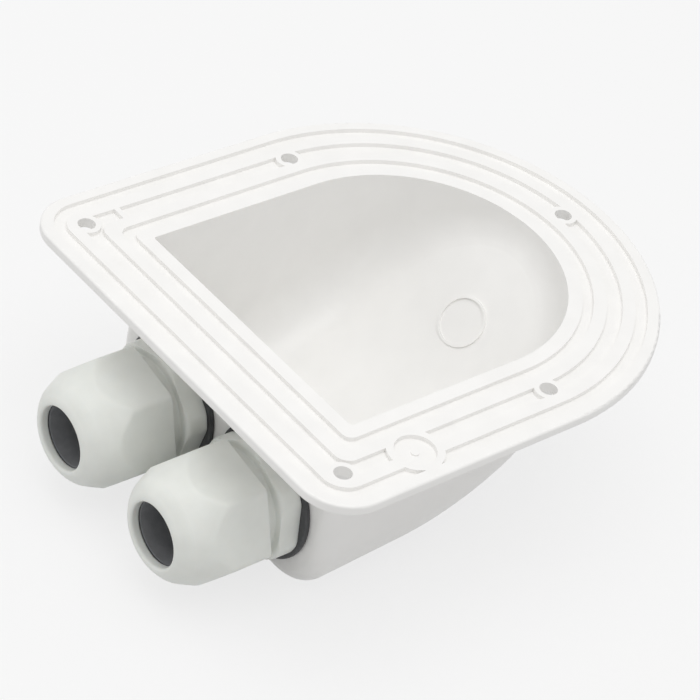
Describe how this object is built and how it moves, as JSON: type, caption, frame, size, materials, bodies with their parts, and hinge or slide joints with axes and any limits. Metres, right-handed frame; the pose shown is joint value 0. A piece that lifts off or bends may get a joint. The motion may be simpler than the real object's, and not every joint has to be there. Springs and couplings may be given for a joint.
{
  "type": "cable_entry_gland_box",
  "caption": "D-shaped moulded entry box, open on its mounting face, with cable glands side by side in its front wall.",
  "frame": {"origin": "the middle of the rectangle of four screw holes, on the mounting face", "axes": "+Z is the outward normal of the mounting face, so the dome hangs down to -Z; the glands point to -Y; +Y is the round end of the D; X runs across the width"},
  "size_m": [0.1, 0.1203, 0.0444],
  "materials": {
    "white_abs": "satin moulded, ultraviolet-stable white",
    "grey_nylon": "fine moulded, pale grey",
    "black_rubber": "matt black nitrile"
  },
  "bodies": {
    "box": {"housing": "white_abs", "gland_body_left": "grey_nylon", "gland_body_right": "grey_nylon", "sealing_washer_left": "black_rubber", "sealing_washer_right": "black_rubber", "locknut_left": "grey_nylon", "locknut_right": "grey_nylon"},
    "clamp_left": {"clamping_cage_left": "grey_nylon", "seal_left": "black_rubber"},
    "clamp_right": {"clamping_cage_right": "grey_nylon", "seal_right": "black_rubber"},
    "nut_left": {"dome_nut_left": "grey_nylon"},
    "nut_right": {"dome_nut_right": "grey_nylon"}
  },
  "joints": [
    {"name": "clamp_slide_left", "type": "slide", "parent": "box", "child": "clamp_left", "axis": [0, -1, 0], "range_m": [0, 0.0075]},
    {"name": "nut_turn_left", "type": "hinge", "parent": "clamp_left", "child": "nut_left", "pos_m": [-0.0153, -0.035, -0.0279], "axis": [0, -1, 0], "range_deg": [0, 1800]},
    {"name": "clamp_slide_right", "type": "slide", "parent": "box", "child": "clamp_right", "axis": [0, -1, 0], "range_m": [0, 0.0075]},
    {"name": "nut_turn_right", "type": "hinge", "parent": "clamp_right", "child": "nut_right", "pos_m": [0.0153, -0.035, -0.0279], "axis": [0, -1, 0], "range_deg": [0, 1800]}
  ],
  "couplings": [
    {"joint": "clamp_slide_left", "follows": "nut_turn_left", "m_per_rad": 0.00023873},
    {"joint": "clamp_slide_right", "follows": "nut_turn_right", "m_per_rad": 0.00023873}
  ]
}
